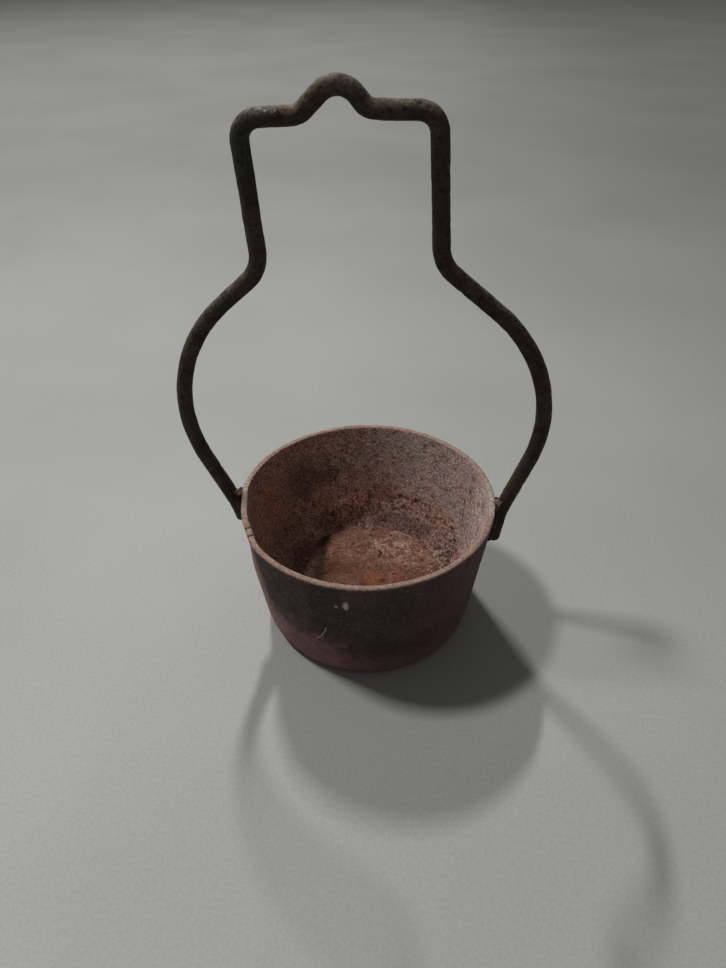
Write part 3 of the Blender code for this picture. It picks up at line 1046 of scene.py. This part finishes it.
def rusted_bar():
    """Old black iron bar with thin rust. Its upper faces are paler and browner, partly from wear and partly
    as painted light from above, and its lower faces carry painted shade.
    """
    made = Finish("rusted_bar", 0.25)
    colour = made.mix(made.ease(made.grain(20 * MM, 11.0), 0.40, 0.60), BAR_BLACK, BAR_BROWN)
    colour = made.stain(colour, (52, 0, 340), (22, 20, 60), 0.8, BAR_RED)
    colour = made.stain(colour, (112, 0, 104), (14, 12, 34), 0.8, BAR_RED)
    colour = made.stain(colour, (-72, 0, 398), (22, 20, 24), 0.8, BAR_GREEN)
    normal = made.node("ShaderNodeNewGeometry").outputs["Normal"]
    upward = made.node("ShaderNodeSeparateXYZ", {0: normal}).outputs[2]
    # Upper faces paler: partly wear, partly painted light from above.
    top = made.ease(upward, 0.15, 0.95)
    worn = made.ease(made.grain(6 * MM, 12.0, 4.0, 0.6), 0.32, 0.58, 0.25, 1.0)
    colour = made.blend(colour, top, worn, BAR_WORN_AND_LIT)
    colour = made.stain(colour, (-12, 0, 425), (13, 9, 8), 0.45, BAR_WORN_AND_LIT)
    colour = made.stain(colour, (-42, -2, 412), (7, 8, 5), 0.7, BAR_RUBBED)
    scuffed = made.patch((-56, -2, 411), (9, 7, 4))
    scuffs = made.math("MULTIPLY", made.flecks(2.3 * MM, 0.55, 15.0, 0.4), scuffed)
    colour = made.blend(colour, scuffs, 0.8, SCUFF_PALE)
    # Painted shade: the bar's lower faces are darker.
    colour = made.shade(colour, made.ease(upward, -0.7, 0.1, 0.45, 1.0))
    colour = made.shade(colour, made.ease(made.grain(2.0 * MM, 13.0, 3.0, 0.7), 0.3, 0.7, 0.6, 1.35))
    colour = made.shade(colour, made.ease(made.mark("pit"), 0.0, 0.8, 1.0, 0.55))
    roughness = made.ease(made.grain(5 * MM, 14.0), 0.3, 0.7, 0.85, 0.60)
    fine = made.grain(1.8 * MM, 15.0, 4.0, 0.65)
    return made.finish(colour, roughness, made.bump(fine, 0.35 * MM))


def weld_metal():
    """Dull weld metal: tan grey where it lies on the rim, and rusted as dark as the bar below that."""
    made = Finish("weld_metal", 0.12)
    dark = made.mix(made.ease(made.grain(6 * MM, 16.0), 0.4, 0.6), WELD_DARK, BAR_BROWN)
    tan = made.mix(made.ease(made.grain(3 * MM, 17.5, 3.0), 0.4, 0.6), WELD_BROWN, WELD_TAN)
    on_rim = made.ease(made.axis(2), POT_HEIGHT - 1.5 * MM, POT_HEIGHT + 0.8 * MM)
    colour = made.mix(on_rim, dark, tan)
    colour = made.shade(colour, made.ease(made.grain(1.6 * MM, 17.0, 2.0), 0.3, 0.7, 0.6, 1.3))
    roughness = made.ease(made.grain(3 * MM, 18.0), 0.3, 0.7, 0.85, 0.6)
    return made.finish(colour, roughness, made.bump(made.grain(1.1 * MM, 19.0, 4.0), 0.3 * MM))


CONCRETE_DARK = (0.372, 0.376, 0.366)
CONCRETE_PALE = (0.412, 0.416, 0.406)


def concrete():
    """The plain pale floor. It gets darker to the rear and to the right, which is painted shade for the
    lamps' fall-off.
    """
    made = Finish("floor_paint", 0.3)
    colour = made.mix(made.ease(made.grain(0.4, 20.0), 0.3, 0.7), CONCRETE_DARK, CONCRETE_PALE)
    # Painted shade: darker to the rear and to the right.
    colour = made.shade(colour, made.ease(made.axis(1), -0.2, 1.6, 1.0, 0.62))
    colour = made.shade(colour, made.ease(made.axis(0), -0.15, 0.9, 1.0, 0.74))
    colour = made.shade(colour, made.ease(made.grain(2.5 * MM, 21.0), 0.3, 0.7, 0.95, 1.05))
    return made.finish(colour, 0.6, made.bump(made.grain(6 * MM, 22.0), 0.15 * MM))


def add_floor():
    shape = bmesh.new()
    bmesh.ops.create_circle(shape, cap_ends=True, radius=STAGE_RADIUS, segments=96)
    mesh = bpy.data.meshes.new("floor")
    shape.to_mesh(mesh)
    shape.free()
    mesh.materials.append(concrete())
    floor = bpy.data.objects.new("floor", mesh)
    bpy.context.scene.collection.objects.link(floor)


# Making


add_camera()
add_world(WORLD_FILL, WORLD_BACKDROP)
for lamp in LAMPS:
    add_lamp(*lamp)
add_floor()
bpy.context.scene.view_settings.view_transform = "Standard"

pot = build_pot(cast_iron())
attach(pot, "root")
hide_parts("pot")

handle = build_handle(rusted_bar())
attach(handle, "root")
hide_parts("handle")

weld = weld_metal()
for word, side in (("left", -1), ("right", 1)):
    beads = {f"weld_{word}_{end}": (side, face) for end, face in (("front", -1), ("rear", 1))}
    for name, (across, face) in beads.items():
        bead = build_side_weld(name, across, face, weld)
        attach(bead, "root")
        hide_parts(name)
    name = f"weld_{word}_top"
    bead = build_top_weld(name, side, weld)
    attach(bead, "root")
    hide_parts(name)
